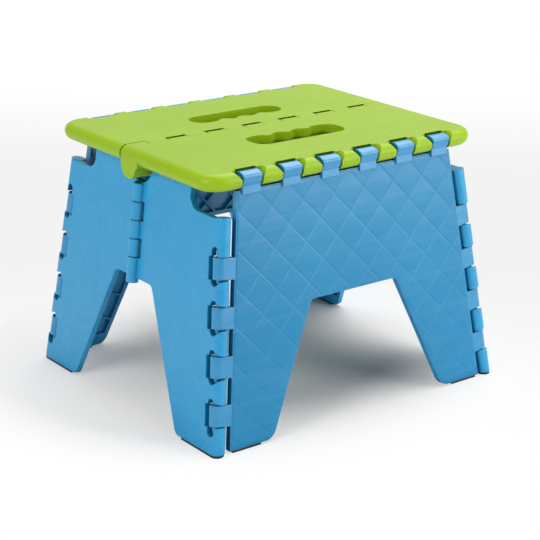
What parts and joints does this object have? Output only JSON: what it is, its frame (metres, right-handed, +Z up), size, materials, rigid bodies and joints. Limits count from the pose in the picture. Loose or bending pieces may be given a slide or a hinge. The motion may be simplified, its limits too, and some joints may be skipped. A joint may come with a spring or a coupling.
{
  "type": "folding step stool",
  "caption": "Low folding step stool: a hinged two-part seat with finger slots on leaning panels and side leaves that fold flat.",
  "frame": {"origin": "on the floor, under the middle of the seat, stool open", "axes": "+Z up, +X along the seat to the right, +Y to the back; the front panel faces -Y"},
  "size_m": [0.2984, 0.2698, 0.22],
  "materials": {
    "seat": "satin moulded plastic",
    "panels": "satin moulded plastic, quilted outer face",
    "leaves": "smooth satin moulded plastic",
    "pads": "matt",
    "rod": "drawn"
  },
  "bodies": {
    "front_panel": {"front_panel": "panels", "front_panel_left_pad": "pads", "front_panel_right_pad": "pads"},
    "seat_front": {"seat_front": "seat", "seat_hinge_rod": "rod"},
    "seat_back": {"seat_back": "seat"},
    "back_panel": {"back_panel": "panels", "back_panel_left_pad": "pads", "back_panel_right_pad": "pads"},
    "left_front_leaf": {"left_front_leaf": "leaves", "left_front_leaf_pad": "pads"},
    "right_front_leaf": {"right_front_leaf": "leaves", "right_front_leaf_pad": "pads"},
    "left_back_leaf": {"left_back_leaf": "leaves", "left_back_leaf_pad": "pads"},
    "right_back_leaf": {"right_back_leaf": "leaves", "right_back_leaf_pad": "pads"}
  },
  "joints": [
    {"name": "front_edge_hinge", "type": "hinge", "parent": "front_panel", "child": "seat_front", "pos_m": [0, -0.107, 0.213], "axis": [1, 0, 0], "range_deg": [0, 83]},
    {"name": "seat_fold", "type": "hinge", "parent": "seat_front", "child": "seat_back", "pos_m": [0, 0, 0.205], "axis": [-1, 0, 0], "range_deg": [0, 175]},
    {"name": "back_edge_hinge", "type": "hinge", "parent": "seat_back", "child": "back_panel", "pos_m": [0, 0.107, 0.213], "axis": [1, 0, 0], "range_deg": [0, 83]},
    {"name": "left_front_corner_hinge", "type": "hinge", "parent": "front_panel", "child": "left_front_leaf", "pos_m": [-0.14343, -0.12704, 0], "axis": [-0.1194, -0.1124, -0.9865], "range_deg": [0, 89.2]},
    {"name": "right_front_corner_hinge", "type": "hinge", "parent": "front_panel", "child": "right_front_leaf", "pos_m": [0.14343, -0.12704, 0], "axis": [-0.1194, 0.1124, 0.9865], "range_deg": [0, 89.2]},
    {"name": "left_back_corner_hinge", "type": "hinge", "parent": "back_panel", "child": "left_back_leaf", "pos_m": [-0.14343, 0.12704, 0], "axis": [0.1194, -0.1124, 0.9865], "range_deg": [0, 89.2]},
    {"name": "right_back_corner_hinge", "type": "hinge", "parent": "back_panel", "child": "right_back_leaf", "pos_m": [0.14343, 0.12704, 0], "axis": [0.1194, 0.1124, -0.9865], "range_deg": [0, 89.2]}
  ],
  "couplings": [
    {"joint": "front_edge_hinge", "follows": "seat_fold", "ratio": 0.474},
    {"joint": "back_edge_hinge", "follows": "seat_fold", "ratio": 0.474},
    {"joint": "left_front_corner_hinge", "follows": "seat_fold", "ratio": 0.5092},
    {"joint": "right_front_corner_hinge", "follows": "seat_fold", "ratio": 0.5092},
    {"joint": "left_back_corner_hinge", "follows": "seat_fold", "ratio": 0.5092},
    {"joint": "right_back_corner_hinge", "follows": "seat_fold", "ratio": 0.5092}
  ]
}
